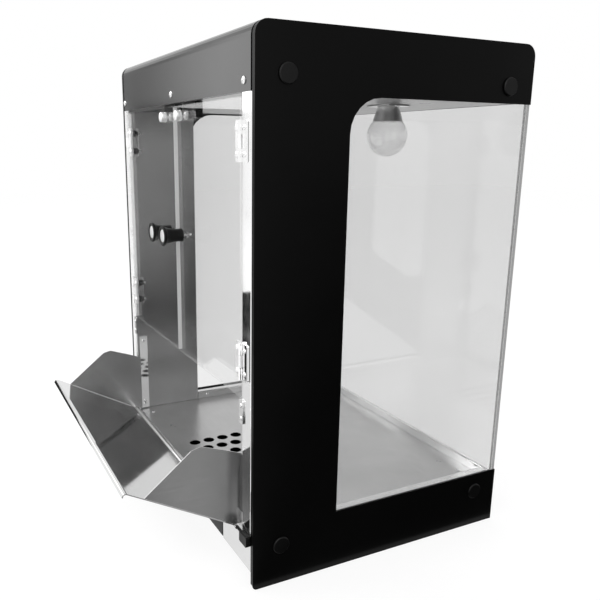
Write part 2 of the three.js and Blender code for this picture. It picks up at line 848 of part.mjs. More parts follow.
function lampHolder() {
  const bore = bulbCapRadius + holderPlay;
  const outer = bore + holderWall;
  const base = ceilingHeight;
  const capFoot = ceilingHeight + bulbNeckRise;
  const boreTop = capFoot + bulbCapLength + bulbTipLength + seat;
  const mouth = bulbNeckRadius + seat * 2;
  const profile = [
    [mouth, base],
    [lampHoleRadius - seat, base],
    [lampHoleRadius - seat, base + holderFlange],
    [outer, base + holderFlange],
    [outer, boreTop + holderTopWall],
    [0, boreTop + holderTopWall],
    [0, boreTop],
    [bore, boreTop],
    [bore, capFoot + seat],
    [mouth, capFoot],
    [mouth, base],
  ];
  const holder = piece('lamp_holder', upright(turned(profile)), 'whitePlastic');
  holder.position.set(lampAcross, lampBack, 0);
  return holder;
}

function bulbGlobe() {
  const points = [[0, globeCentre - globeRadius]];
  const lowest = -Math.PI / 2;
  const highest = Math.PI / 6;
  for (let step = 1; step <= roundSteps / 2; step += 1) {
    const angle = lowest + ((highest - lowest) * step) / (roundSteps / 2);
    points.push([globeRadius * Math.cos(angle), globeCentre + globeRadius * Math.sin(angle)]);
  }
  points.push([bulbNeckRadius, ceilingHeight - bulbNeckRise / 2]);
  points.push([bulbNeckRadius, ceilingHeight + bulbNeckRise - seat * 2]);
  points.push([0, ceilingHeight + bulbNeckRise - seat * 2]);
  const globe = piece('bulb_globe', upright(turned(points)), 'glass');
  globe.position.set(lampAcross, lampBack, 0);
  return globe;
}

function bulbCap() {
  const foot = ceilingHeight + bulbNeckRise - seat;
  const profile = [
    [0, foot],
    [bulbCapRadius, foot],
    [bulbCapRadius, foot + bulbCapLength],
    [bulbTipRadius, foot + bulbCapLength],
    [bulbTipRadius, foot + bulbCapLength + bulbTipLength],
    [0, foot + bulbCapLength + bulbTipLength],
  ];
  const cap = piece('bulb_cap', upright(turned(profile)), 'chrome');
  cap.position.set(lampAcross, lampBack, 0);
  return cap;
}

// Electric pieces: the inlet and the switch in the back of the roof, and a terminal block on the ceiling
function mainsInlet() {
  const height = cabinetHeight - serviceBoxDrop;
  const face = rectangle(about(serviceBoxOffset, inletWidth), about(height, inletHeight), inletCorner);
  const outside = halfDepth + seat;
  const flange = alongY(face, [outside, outside + inletFace]);
  const body = box(
    about(serviceBoxOffset, inletWidth - inletCorner * 2 - seat * 2),
    [outside - inletBody, outside + seat],
    about(height, inletHeight - inletCorner - seat * 2),
  );
  const socket = box(
    about(serviceBoxOffset, socketWidth),
    [outside + inletFace - socketDepth, outside + inletFace + overrun],
    about(height, socketHeight),
  );
  return piece('mains_inlet', cut(join(flange, body), socket), 'blackPlastic');
}

function switchFrame() {
  const height = cabinetHeight - serviceBoxDrop;
  const across = serviceBoxOffset - switchShift;
  const outside = halfDepth + seat;
  const face = rectangle(about(across, switchWidth), about(height, switchHeight), leafCorner);
  const flange = alongY(face, [outside, outside + inletFace]);
  const body = box(
    about(across, rockerWidth + rockerPocketPlay * 2 - seat * 2),
    [outside - switchBody, outside + seat],
    about(height, rockerHeight + rockerPocketPlay * 2 - seat * 2),
  );
  const pocket = box(
    about(across, rockerWidth),
    [outside - rockerThickness - rockerPocketPlay, outside + inletFace + overrun],
    about(height, rockerHeight),
  );
  return piece('switch_frame', cut(join(flange, body), pocket), 'blackPlastic');
}

function switchRocker() {
  const height = cabinetHeight - serviceBoxDrop;
  const across = serviceBoxOffset - switchShift;
  const width = rockerWidth - rockerPocketPlay;
  const half = (rockerHeight - rockerPocketPlay) / 2;
  const front = rockerPivotDepth + rockerCrest;
  const outline = rounded([
    [-rockerPivotDepth, -half / 2],
    [0, -half],
    [front, -half],
    [front - rockerCrest, 0],
    [front, half],
    [0, half],
    [-rockerPivotDepth, half / 2],
  ]);
  const rocker = piece('switch_rocker', alongX(outline, about(0, width)), 'blackPlastic');
  rocker.position.set(across, halfDepth + seat - rockerPivotDepth + inletFace / 2, height);
  rocker.rotation.x = -rockerTilt;
  return rocker;
}

function terminalBlock() {
  const bottom = ceilingHeight + steelSheet + seat;
  const block = box(
    about(terminalAcross, terminalWidth),
    about(terminalBack, terminalDepth),
    [bottom, bottom + terminalHeight],
  );
  return piece('terminal_block', block, 'whitePlastic');
}

// Assembly
const cabinet = new THREE.Group();
cabinet.add(roofCover(), ceilingPanel(), rearGlass(), rearRail(), basePan(), perforatedFloor());
cabinet.add(frontApron(), rearApron(), crumbDrawer());
cabinet.add(lampPlate(), lampHolder(), bulbGlobe(), bulbCap());
cabinet.add(mainsInlet(), switchFrame(), switchRocker(), terminalBlock());

const tray = new THREE.Group();
tray.position.set(0, trayPivot, trayPivotHeight);
tray.add(trayPanel(), ...sides.map(trayWing));
cabinet.add(tray);

for (const side of sides) {
  cabinet.add(sidePanel(side), ...panelCaps(side), sideGlass(side), sideRail(side));
  cabinet.add(frontPost(side), columnLiner(side), trayPivotBlock(side), trayCatch(side), trayStopStrip(side));
  cabinet.add(doorGlass(side), doorKnob(side), doorStrike(side), magneticCatch(side));
  cabinet.add(...hinges(side, 'post'), ...hinges(side, 'door'));
}

// The origin is the middle of the footprint, tray included
const footprint = new THREE.Box3().setFromObject(cabinet, true).getCenter(new THREE.Vector3());
cabinet.position.set(0, -footprint.y, 0);

const part = new THREE.Group();
part.add(cabinet);

export default part;
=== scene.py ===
"""Looks of a countertop popcorn display cabinet: its finishes, its small fittings and a plain studio."""

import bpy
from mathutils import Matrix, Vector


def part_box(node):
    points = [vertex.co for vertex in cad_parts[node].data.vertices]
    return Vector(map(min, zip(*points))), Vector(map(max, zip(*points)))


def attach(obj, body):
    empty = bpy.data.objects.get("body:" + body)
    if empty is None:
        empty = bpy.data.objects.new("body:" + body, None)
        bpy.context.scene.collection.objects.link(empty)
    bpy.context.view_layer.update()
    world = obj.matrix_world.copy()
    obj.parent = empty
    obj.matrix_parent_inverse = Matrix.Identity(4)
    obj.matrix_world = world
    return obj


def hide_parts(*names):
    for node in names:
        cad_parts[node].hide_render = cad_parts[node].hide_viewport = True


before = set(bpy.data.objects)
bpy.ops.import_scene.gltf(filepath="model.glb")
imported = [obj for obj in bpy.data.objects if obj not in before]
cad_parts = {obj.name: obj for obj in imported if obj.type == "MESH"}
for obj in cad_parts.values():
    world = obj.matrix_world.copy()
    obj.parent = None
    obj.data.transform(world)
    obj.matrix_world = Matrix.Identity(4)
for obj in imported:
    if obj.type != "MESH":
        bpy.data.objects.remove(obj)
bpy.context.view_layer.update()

import logging
import math
from dataclasses import dataclass, field
from enum import Enum
from typing import Iterable, Sequence

import bmesh
import bpy
import numpy as np
from mathutils import Matrix, Vector

LOG = logging.getLogger("popcorn_cabinet")
MM = 0.001
TURN = 2 * math.pi
SIDES = {"left": -1.0, "right": 1.0}
PICTURE_SIZE = 600
SHARP_ANGLE = math.radians(32)

Array = np.ndarray
Triple = tuple[float, float, float]


# Shader maths


class Shade:
    """A shader value: arithmetic on it adds Math nodes to the material it belongs to."""

    def __init__(self, book: "Recipe", socket: bpy.types.NodeSocket) -> None:
        """Wraps a socket of a recipe's node tree."""
        self.book = book
        self.socket = socket

    def _math(self, operation: str, *values: "Shade | float") -> "Shade":
        """Adds a Math node.

        Args:
            operation: the node's operation.
            values: its inputs in order, as numbers or shades.

        Returns:
            The node's result.
        """
        sockets = {index: value for index, value in enumerate(values)}
        return self.book.add("ShaderNodeMath", {"operation": operation}, sockets)

    def __add__(self, other: "Shade | float") -> "Shade":
        """Sum."""
        return self._math("ADD", self, other)

    def __radd__(self, other: float) -> "Shade":
        """Sum with a number first."""
        return self._math("ADD", other, self)

    def __sub__(self, other: "Shade | float") -> "Shade":
        """Difference."""
        return self._math("SUBTRACT", self, other)

    def __rsub__(self, other: float) -> "Shade":
        """Difference from a number."""
        return self._math("SUBTRACT", other, self)

    def __mul__(self, other: "Shade | float") -> "Shade":
        """Product."""
        return self._math("MULTIPLY", self, other)

    def __rmul__(self, other: float) -> "Shade":
        """Product with a number first."""
        return self._math("MULTIPLY", other, self)

    def __pow__(self, other: "Shade | float") -> "Shade":
        """Power."""
        return self._math("POWER", self, other)

    def __abs__(self) -> "Shade":
        """Size without sign."""
        return self._math("ABSOLUTE", self)

    def most(self, other: "Shade | float") -> "Shade":
        """The larger of two values."""
        return self._math("MAXIMUM", self, other)

    def ramp(self, low: float, high: float, to_low: float = 0.0, to_high: float = 1.0) -> "Shade":
        """Runs smoothly from one value to another.

        Args:
            low: the input at which the result is to_low.
            high: the input at which the result is to_high.
            to_low: the result at and below low.
            to_high: the result at and above high.

        Returns:
            The eased value.
        """
        settings = {"interpolation_type": "SMOOTHSTEP", "clamp": True}
        sockets = {"Value": self, "From Min": low, "From Max": high, "To Min": to_low, "To Max": to_high}
        return self.book.add("ShaderNodeMapRange", settings, sockets)


class Recipe:
    """One material's node tree, with the few calls its finishes are written in."""

    def __init__(self, name: str) -> None:
        """Starts an empty material of that name."""
        self.material = bpy.data.materials.new(name)
        self.material.use_nodes = True
        self.tree = self.material.node_tree
        self.tree.nodes.clear()
        self.output = self.tree.nodes.new("ShaderNodeOutputMaterial")

    def add(self, kind: str, settings: dict | None = None, sockets: dict | None = None, out: int | str = 0) -> Shade:
        """Adds a node.

        Args:
            kind: the node's type.
            settings: the node's own properties, set first.
            sockets: values or shades for its inputs, by name or number.
            out: which output to return.

        Returns:
            That output as a shade.
        """
        node = self.tree.nodes.new(kind)
        for key, value in (settings or {}).items():
            setattr(node, key, value)
        for key, value in (sockets or {}).items():
            if isinstance(value, Shade):
                self.tree.links.new(value.socket, node.inputs[key])
            else:
                node.inputs[key].default_value = value
        return Shade(self, node.outputs[out])

    def coordinates(self, output: str = "Object") -> Shade:
        """A Texture Coordinate output: the object's own metres, or its own normal."""
        return self.add("ShaderNodeTexCoord", out=output)

    def parts(self, vector: Shade) -> list[Shade]:
        """The X, Y and Z of a vector."""
        first = self.add("ShaderNodeSeparateXYZ", sockets={0: vector})
        return [Shade(self, output) for output in first.socket.node.outputs]

    def noise(self, scale: float, stretch: Triple = (1, 1, 1), detail: float = 3, roughness: float = 0.5) -> Shade:
        """Cloudy noise on the object's own coordinates.

        Args:
            scale: repeats per metre before stretching.
            stretch: how much faster it runs along each axis.
            detail: octaves.
            roughness: weight of the finer octaves.

        Returns:
            A value near 0.5.
        """
        placed = self.add("ShaderNodeMapping", sockets={"Vector": self.coordinates(), "Scale": stretch})
        sockets = {"Vector": placed, "Scale": scale, "Detail": detail, "Roughness": roughness}
        return self.add("ShaderNodeTexNoise", sockets=sockets)

    def blend(self, share: Shade | float, first: Triple, second: Triple) -> Shade:
        """A colour between two, by a share."""
        colours = {0: share, 6: (*first, 1.0), 7: (*second, 1.0)}
        return self.add("ShaderNodeMix", {"data_type": "RGBA"}, colours, out=2)

    def bump(self, height: Shade, distance: float, strength: float = 1.0) -> Shade:
        """A normal tilted by a height, whose full step is distance in metres."""
        return self.add("ShaderNodeBump", sockets={"Height": height, "Distance": distance, "Strength": strength})

    def surface(self, **sockets: "Shade | float | tuple") -> Shade:
        """A Principled shader; a socket's spaces are written as underscores."""
        named = {key.replace("_", " "): value for key, value in sockets.items()}
        return self.add("ShaderNodeBsdfPrincipled", sockets=named)

    def mixed(self, share: Shade | float, first: Shade, second: Shade) -> Shade:
        """A Mix Shader."""
        return self.add("ShaderNodeMixShader", sockets={0: share, 1: first, 2: second})

    def finished(self, shader: Shade) -> bpy.types.Material:
        """Links a shader to the output and returns the material."""
        self.tree.links.new(shader.socket, self.output.inputs["Surface"])
        return self.material


def grey(level: float) -> Triple:
    """A neutral colour of that linear level."""
    return (level, level, level)


# Finishes


class Grain(Enum):
    """The direction in which sheet metal was brushed."""

    ACROSS = (1.0, 60.0, 60.0)
    DEPTH = (60.0, 1.0, 60.0)
    UP = (60.0, 60.0, 1.0)


@dataclass(frozen=True)
class BrushedSteel:
    """Stainless sheet with a fine grain, cloudy smears and a satin reflection."""

    name: str = "brushed_sheet"
    level: float = 0.5
    grain: Grain = Grain.ACROSS
    gloss_roughness: float = 0.26
    smear: float = 0.06
    fine_scale: float = 26.0
    grain_depth: float = 0.00002

    def material(self) -> bpy.types.Material:
        """Builds the material."""
        recipe = Recipe(self.name)
        fine = recipe.noise(self.fine_scale, self.grain.value, detail=4, roughness=0.65)
        cloud = recipe.noise(9.0, detail=4, roughness=0.6)
        rubbed = recipe.noise(38.0, detail=2)
        streaks = fine.ramp(0.25, 0.75)
        shade = cloud.ramp(0.3, 0.7) * 0.6 + streaks * 0.4
        colour = recipe.blend(shade, grey(self.level * 0.86), grey(self.level * 1.1))
        roughness = self.gloss_roughness + (cloud - 0.5) * self.smear * 2 + (rubbed - 0.5) * self.smear
        normal = recipe.bump(fine, self.grain_depth, 0.6)
        return recipe.finished(recipe.surface(
            Base_Color=colour, Metallic=1.0, Roughness=roughness, Anisotropic=0.35, Normal=normal))


@dataclass(frozen=True)
class PolishedSteel:
    """Mirror-like stainless sheet: slight waves from rolling, faint hairlines and finger smears."""

    name: str = "polished_sheet"
    level: float = 0.72
    gloss_roughness: float = 0.07
    wave_depth: float = 0.00012
    hairline: Grain = Grain.ACROSS

    def material(self) -> bpy.types.Material:
        """Builds the material."""
        recipe = Recipe(self.name)
        wave = recipe.noise(11.0, detail=1, roughness=0.3)
        hair = recipe.noise(60.0, self.hairline.value, detail=3, roughness=0.6)
        smear = recipe.noise(16.0, detail=5, roughness=0.62)
        marks = smear.ramp(0.5, 0.78)
        colour = recipe.blend(hair.ramp(0.3, 0.7), grey(self.level * 0.96), grey(self.level * 1.04))
        roughness = self.gloss_roughness + marks * 0.09 + (hair - 0.5) * 0.03
        normal = recipe.bump(wave, self.wave_depth, 0.5)
        return recipe.finished(recipe.surface(
            Base_Color=colour, Metallic=1.0, Roughness=roughness, Normal=normal))


@dataclass(frozen=True)
class BlackPaint:
    """Smooth baked black coating with a faint orange peel, a little dust and lighter rubbed patches."""

    name: str = "black_paint"
    level: float = 0.0012
    gloss_roughness: float = 0.14
    peel_depth: float = 0.00003
    index: float = 1.5

    def material(self) -> bpy.types.Material:
        """Builds the material."""
        recipe = Recipe(self.name)
        peel = recipe.noise(520.0, detail=2)
        cloud = recipe.noise(6.5, detail=5, roughness=0.6)
        dust = recipe.noise(900.0, detail=1)
        specks = dust.ramp(0.70, 0.78) * cloud.ramp(0.45, 0.7)
        colour = recipe.blend(specks * 0.6 + cloud * 0.15, grey(self.level), grey(self.level * 7))
        roughness = self.gloss_roughness + (cloud - 0.5) * 0.12 + specks * 0.3
        normal = recipe.bump(peel, self.peel_depth, 0.35)
        return recipe.finished(recipe.surface(
            Base_Color=colour, Roughness=roughness, Normal=normal, IOR=self.index))


@dataclass(frozen=True)
class Plastic:
    """Moulded plastic with a fine eroded texture and soft wear."""

    name: str
    level: float
    gloss_roughness: float = 0.32
    texture_scale: float = 1400.0
    texture_depth: float = 0.00004
    index: float = 1.3

    def material(self) -> bpy.types.Material:
        """Builds the material."""
        recipe = Recipe(self.name)
        texture = recipe.noise(self.texture_scale, detail=2)
        wear = recipe.noise(70.0, detail=4, roughness=0.6)
        colour = recipe.blend(wear, grey(self.level * 0.85), grey(self.level * 1.2))
        roughness = self.gloss_roughness + (wear - 0.5) * 0.2
        normal = recipe.bump(texture, self.texture_depth, 0.4)
        return recipe.finished(recipe.surface(
            Base_Color=colour, Roughness=roughness, Normal=normal, IOR=self.index))


@dataclass(frozen=True)
class Plated:
    """Bright plating on a small fitting, with tiny pits and a slight haze."""

    name: str = "chrome_hardware"
    level: float = 0.78
    gloss_roughness: float = 0.08
    haze: float = 0.12

    def material(self) -> bpy.types.Material:
        """Builds the material."""
        recipe = Recipe(self.name)
        pits = recipe.noise(900.0, detail=2)
        haze = recipe.noise(140.0, detail=4, roughness=0.6).ramp(0.42, 0.8)
        colour = recipe.blend(haze, grey(self.level), grey(self.level * 0.88))
        roughness = self.gloss_roughness + haze * self.haze
        normal = recipe.bump(pits.ramp(0.62, 0.75), -0.00003, 0.4)
        return recipe.finished(recipe.surface(
            Base_Color=colour, Metallic=1.0, Roughness=roughness, Normal=normal))


class Facing(Enum):
    """The axis a sheet of glass is thin along; faces turned any other way are its cut edges."""

    X = 0
    Y = 1


@dataclass(frozen=True)
class SheetGlass:
    """Thin clear sheet: see-through faces that mirror more at a glancing view, and bright ground edges."""

    name: str
    facing: Facing
    clear: float = 0.97
    face_mirror: float = 0.035
    edge_level: float = 0.9
    film: float = 0.012

    def material(self) -> bpy.types.Material:
        """Builds the material: the mirrored share is f + (1 - f) times the fifth power of the glancing share."""
        recipe = Recipe(self.name)
        glancing = recipe.add("ShaderNodeLayerWeight", sockets={"Blend": 0.5}, out="Facing")
        mirrored = glancing ** 5.0 * (1 - self.face_mirror) + self.face_mirror
        smears = recipe.noise(12.0, (1, 1, 0.35), detail=5, roughness=0.62).ramp(0.45, 0.85)
        through = recipe.add("ShaderNodeBsdfTransparent", sockets={"Color": (*grey(self.clear), 1.0)})
        wave = recipe.bump(recipe.noise(5.0, detail=1), 0.0004, 0.25)
        gloss = recipe.surface(
            Base_Color=(*grey(0.98), 1.0), Metallic=1.0, Roughness=smears * 0.04 + 0.01, Normal=wave)
        haze = recipe.surface(Base_Color=(*grey(0.8), 1.0), Roughness=0.7)
        face = recipe.mixed(smears * self.film, recipe.mixed(mirrored, through, gloss), haze)
        normal = recipe.parts(recipe.coordinates("Normal"))[self.facing.value]
        edge_share = 1 - abs(normal).ramp(0.4, 0.6)
        grind = recipe.noise(700.0, detail=3)
        ground = recipe.surface(
            Base_Color=recipe.blend(grind, grey(self.edge_level * 0.8), grey(self.edge_level)),
            Roughness=grind * 0.3 + 0.1, Normal=recipe.bump(grind, 0.00005, 0.4))
        lying = abs(recipe.parts(recipe.coordinates("Normal"))[2]).ramp(0.4, 0.6, 0.3, 0.85)
        edge = recipe.mixed(lying, ground, through)
        return recipe.finished(recipe.mixed(edge_share, face, edge))


@dataclass(frozen=True)
class BlownGlass:
    """The lamp's thin globe: clear with a faint milky veil, and a mirror at its rim."""

    name: str = "lamp_glass"
    clear: float = 0.985
    veil: float = 0.03

    def material(self) -> bpy.types.Material:
        """Builds the material."""
        recipe = Recipe(self.name)
        glancing = recipe.add("ShaderNodeLayerWeight", sockets={"Blend": 0.5}, out="Facing")
        mirrored = glancing ** 4.0 * 0.9 + 0.05
        cloud = recipe.noise(60.0, detail=4, roughness=0.6)
        through = recipe.add("ShaderNodeBsdfTransparent", sockets={"Color": (*grey(self.clear), 1.0)})
        gloss = recipe.surface(
            Base_Color=(*grey(0.97), 1.0), Metallic=1.0, Roughness=cloud * 0.05 + 0.01,
            Normal=recipe.bump(cloud, 0.0001, 0.2))
        milk = recipe.surface(Base_Color=(*grey(0.85), 1.0), Roughness=0.5)
        return recipe.finished(recipe.mixed(
            cloud * self.veil * 2, recipe.mixed(mirrored, through, gloss), milk))


# Surfaces worked out as arrays


@dataclass
class Shape:
    """Corners and faces of a closed surface, in metres."""

    corners: Array
    faces: list[list[int]]

    def moved(self, matrix: Matrix) -> "Shape":
        """The same surface after a turn and a move.

        Args:
            matrix: where its own origin and axes go.

        Returns:
            The moved copy.
        """
        grid = np.array(matrix)
        return Shape(self.corners @ grid[:3, :3].T + grid[:3, 3], self.faces)


def joined(shapes: Iterable[Shape]) -> Shape:
    """Several surfaces as one, with their faces renumbered.

    Args:
        shapes: the surfaces.

    Returns:
        One surface of separate shells.
    """
    corners: list[Array] = []
    faces: list[list[int]] = []
    start = 0
    for shape in shapes:
        corners.append(shape.corners)
        faces += [[start + index for index in face] for face in shape.faces]
        start += len(shape.corners)
    return Shape(np.concatenate(corners), faces)


def closed_rings(rings: Array) -> Shape:
    """A surface through rings of points, closed round each ring and by a fan at both ends.

    Corner j of ring i joins corner j + 1 of ring i and the same two of ring i + 1; each end's fan meets
    at the mean of its ring.

    Args:
        rings: an array of ring, corner and coordinate.

    Returns:
        The closed surface.
    """
    count, around = rings.shape[:2]
    index = np.arange(count * around).reshape(count, around)
    ahead = np.roll(index, -1, axis=1)
    walls = np.stack([index[:-1], ahead[:-1], ahead[1:], index[1:]], axis=-1).reshape(-1, 4)
    first, last = count * around, count * around + 1
    foot = np.stack([ahead[0], index[0], np.full(around, first)], axis=-1)
    head = np.stack([index[-1], ahead[-1], np.full(around, last)], axis=-1)
    poles = np.stack([rings[0].mean(axis=0), rings[-1].mean(axis=0)])
    corners = np.concatenate([rings.reshape(-1, 3), poles])
    return Shape(corners, walls.tolist() + foot.tolist() + head.tolist())


def turned(profile: Sequence[tuple[float, float]], around: int = 48) -> Shape:
    """A turned piece: each profile point (r, h) becomes a ring at r cos a, r sin a, h.

    Args:
        profile: radius and height in millimetres, from the foot to the head.
        around: corners in each ring.

    Returns:
        The closed surface, its axis along Z.
    """
    points = np.array(profile, float) * MM
    angle = np.linspace(0, TURN, around, endpoint=False)
    radius = points[:, :1]
    rings = np.stack([radius * np.cos(angle), radius * np.sin(angle), points[:, 1:] + 0 * angle], axis=-1)
    return closed_rings(rings)


def rounded_rod(radius: float, length: float) -> Shape:
    """A round rod along Z whose ends are rounded over: the radius falls by r (1 - cos a) as h runs to r sin a.

    Args:
        radius: its radius in millimetres.
        length: its length.

    Returns:
        The closed rod.
    """
    angle = np.linspace(0.1, TURN / 4, 8)
    foot = [(radius * math.sin(a), radius * (1 - math.cos(a))) for a in angle]
    head = [(r, length - h) for r, h in reversed(foot)]
    return turned([*foot, *head], 32)


def eased(profile: Sequence[tuple[float, float]], steps: int) -> list[tuple[float, float]]:
    """A smooth profile through the given points: each coordinate is a cubic of the chord length so far.

    Args:
        profile: the points to pass through.
        steps: points in the result.

    Returns:
        The finer profile.
    """
    points = np.array(profile, float)
    chord = np.concatenate([[0], np.cumsum(np.linalg.norm(np.diff(points, axis=0), axis=1))])
    slope = np.gradient(points, chord, axis=0)
    at = np.linspace(0, chord[-1], steps)
    span = np.clip(np.searchsorted(chord, at, side="right") - 1, 0, len(chord) - 2)
    width = (chord[span + 1] - chord[span])[:, None]
    t = ((at - chord[span])[:, None]) / width
    start, end = points[span], points[span + 1]
    rise, fall = slope[span] * width, slope[span + 1] * width
    cubic = ((2 * t ** 3 - 3 * t ** 2 + 1) * start + (t ** 3 - 2 * t ** 2 + t) * rise
             + (3 * t ** 2 - 2 * t ** 3) * end + (t ** 3 - t ** 2) * fall)
    return [tuple(row) for row in cubic]


def aimed(place: Triple, axis: Triple, spin: float = 0.0) -> Matrix:
    """The move that stands a turned piece at a place with its axis along a direction.

    Args:
        place: where its foot goes, in millimetres.
        axis: the direction of its head.
        spin: its turn about that axis, in radians.

    Returns:
        The matrix, in metres.
    """
    turn = Vector((0, 0, 1)).rotation_difference(Vector(axis)).to_matrix().to_4x4()
    return Matrix.Translation(Vector(place) * MM) @ turn @ Matrix.Rotation(spin, 4, "Z")


class Recess(Enum):
    """What a screw's head is driven by."""

    CROSS = 4
    SOCKET = 6


@dataclass(frozen=True)
class Screw:
    """A domed screw head with a driver's recess."""

    radius: float = 4.0
    height: float = 2.2
    recess: Recess = Recess.CROSS
    depth: float = 1.3
    around: int = 48
    rings: int = 13

    def shape(self) -> Shape:
        """The head: at share s of the radius the height is h times the root of 1 - 0.85 s^2, less the recess.

        The recess is full inside a border and eases out over a tenth of the radius. A cross's border at
        angle a is 0.13 / max(|sin a|, |cos a| swapped) up to 0.62; a socket's is a hexagon.

        Returns:
            The closed head, standing on Z = 0.
        """
        angle = np.linspace(0, TURN, self.around, endpoint=False)[None, :]
        share = np.linspace(1.0, 0.05, self.rings)[:, None]
        dome = self.height * np.sqrt(1 - 0.85 * share ** 2)
        if self.recess is Recess.CROSS:
            arm = np.minimum(np.abs(np.sin(angle)), np.abs(np.cos(angle)))
            border = np.minimum(0.62, 0.15 / np.maximum(arm, 0.02))
        else:
            border = 0.5 / np.cos((angle + TURN / 12) % (TURN / 6) - TURN / 12)
        sunk = np.clip((border - share) / 0.1, 0, 1) * self.depth
        height = dome - sunk
        radius = share * self.radius
        rings = np.stack([radius * np.cos(angle), radius * np.sin(angle), height], axis=-1)
        foot = rings[:1] * np.array([1.0, 1.0, 0.0])
        return closed_rings(np.concatenate([foot, rings]) * MM)


@dataclass(frozen=True)
class Nut:
    """A hexagon nut on a washer, with the threaded end of its bolt."""

    half_width: float = 3.6
    thickness: float = 3.2
    washer: float = 5.2
    thread: float = 2.0
    reach: float = 9.0
    pitch: float = 0.9

    def shape(self) -> Shape:
        """Washer and nut are rings whose radius is the hexagon's; the thread's radius rises and falls
        once for each pitch of height plus turn, as a helix.

        Returns:
            The closed pieces, standing on Z = 0.
        """
        washer = turned([(self.washer, 0.0), (self.washer, 0.7), (self.washer - 0.2, 0.9)], 32)
        angle = np.linspace(0, TURN, 48, endpoint=False)[None, :]
        hexagon = self.half_width / np.cos((angle + TURN / 12) % (TURN / 6) - TURN / 12)
        heights = np.array([0.9, 1.2, self.thickness + 0.6, self.thickness + 0.9])[:, None]
        limit = np.array([0.97, 1.2, 1.2, 0.97])[:, None] * self.half_width * 1.12
        radius = np.minimum(hexagon, limit)
        rings = np.stack([radius * np.cos(angle), radius * np.sin(angle), heights + 0 * angle], axis=-1)
        rise = np.linspace(self.thickness, self.reach, 40)[:, None]
        phase = rise / self.pitch + angle / TURN
        wave = np.abs(phase % 1 - 0.5) * 2
        end = np.clip((self.reach - rise) / 0.8, 0.4, 1)
        core = (self.thread - 0.25 + 0.25 * wave) * end
        bolt = np.stack([core * np.cos(angle), core * np.sin(angle), rise + 0 * angle], axis=-1)
        return joined([washer, closed_rings(rings * MM), closed_rings(bolt * MM)])


# Putting pieces into the scene


@dataclass(frozen=True)
class Palette:
    """Every finish of the cabinet, made once; the posts' steel also carries a painted highlight and the ceiling's steel
    painted shade in their levels.
    """

    paint: bpy.types.Material = field(default_factory=lambda: BlackPaint(index=1.44).material())
    matt_paint: bpy.types.Material = field(
        default_factory=lambda: BlackPaint("matt_black_paint", 0.001, 0.3, index=1.2).material())
    # Polished steel at 0.95, brighter than the tray's 0.72: painted highlight standing in for the lamp light on the
    # posts.
    post_steel_painted_highlight: bpy.types.Material = field(
        default_factory=lambda: PolishedSteel("post_sheet_painted_highlight", 0.95, 0.05, hairline=Grain.UP).material())
    floor_steel: bpy.types.Material = field(
        default_factory=lambda: BrushedSteel("floor_sheet", 0.56, Grain.ACROSS, 0.3).material())
    wall_steel: bpy.types.Material = field(
        default_factory=lambda: BrushedSteel("wall_sheet", 0.5, Grain.UP, 0.24).material())
    # Brushed steel at 0.36, darker than the walls' 0.5 and the floor's 0.56: painted shade on the ceiling under the
    # roof.
    ceiling_steel_painted_shade: bpy.types.Material = field(
        default_factory=lambda: BrushedSteel("ceiling_sheet_painted_shade", 0.36, Grain.ACROSS, 0.3).material())
    wing_steel: bpy.types.Material = field(
        default_factory=lambda: BrushedSteel("wing_sheet", 0.5, Grain.DEPTH, 0.24).material())
    bright_steel: bpy.types.Material = field(default_factory=lambda: PolishedSteel().material())
    chrome: bpy.types.Material = field(default_factory=lambda: Plated().material())
    screw_steel: bpy.types.Material = field(
        default_factory=lambda: Plated("screw_steel", 0.85, 0.2).material())
    satin: bpy.types.Material = field(
        default_factory=lambda: Plated("satin_hardware", 0.95, 0.38, 0.1).material())
    cap_metal: bpy.types.Material = field(
        default_factory=lambda: BrushedSteel("lamp_metal", 0.6, Grain.UP, 0.3).material())
    black_plastic: bpy.types.Material = field(
        default_factory=lambda: Plastic("black_moulding", 0.0015, 0.4).material())
    white_plastic: bpy.types.Material = field(
        default_factory=lambda: Plastic("white_moulding", 0.62, 0.45).material())
    door_glass: bpy.types.Material = field(
        default_factory=lambda: SheetGlass("door_sheet", Facing.Y, clear=0.985).material())
    rear_glass: bpy.types.Material = field(
        default_factory=lambda: SheetGlass("rear_sheet", Facing.Y, clear=0.92, edge_level=0.12).material())
    side_glass: bpy.types.Material = field(
        default_factory=lambda: SheetGlass("side_sheet", Facing.X, clear=0.93, edge_level=0.12).material())
    lamp_glass: bpy.types.Material = field(default_factory=lambda: BlownGlass().material())


def place(name: str, shape: Shape, finish: bpy.types.Material, body: str, slot: str) -> bpy.types.Object:
    """Puts a closed surface into the scene as one piece.

    Args:
        name: the piece's name.
        shape: its surface in the row frame.
        finish: its material.
        body: the body it rides on.
        slot: not used.

    Returns:
        The new object, at the origin.
    """
    mesh = bpy.data.meshes.new(name)
    mesh.from_pydata(shape.corners.tolist(), [], shape.faces)
    shell = bmesh.new()
    shell.from_mesh(mesh)
    bmesh.ops.remove_doubles(shell, verts=shell.verts, dist=1e-7)
    bmesh.ops.recalc_face_normals(shell, faces=shell.faces)
    shell.to_mesh(mesh)
    shell.free()
    mesh.shade_smooth()
    mesh.set_sharp_from_angle(angle=SHARP_ANGLE)
    mesh.materials.append(finish)
    piece = bpy.data.objects.new(name, mesh)
    bpy.context.scene.collection.objects.link(piece)
    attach(piece, body)
    LOG.info("%s: %d faces on %s", name, len(mesh.polygons), body)
    return piece


def dress(nodes: Iterable[str], finish: bpy.types.Material) -> None:
    """Gives CAD nodes a finish in place of the plain one they came with.

    Args:
        nodes: the nodes' names.
        finish: the material.
    """
    for node in nodes:
        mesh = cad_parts[node].data
        mesh.materials.clear()
        mesh.materials.append(finish)
        LOG.info("%s: %s", node, finish.name)


def spots(node: str) -> tuple[Vector, Vector]:
    """A node's lowest and highest corner in millimetres."""
    low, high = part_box(node)
    return low / MM, high / MM


# Sub-assemblies


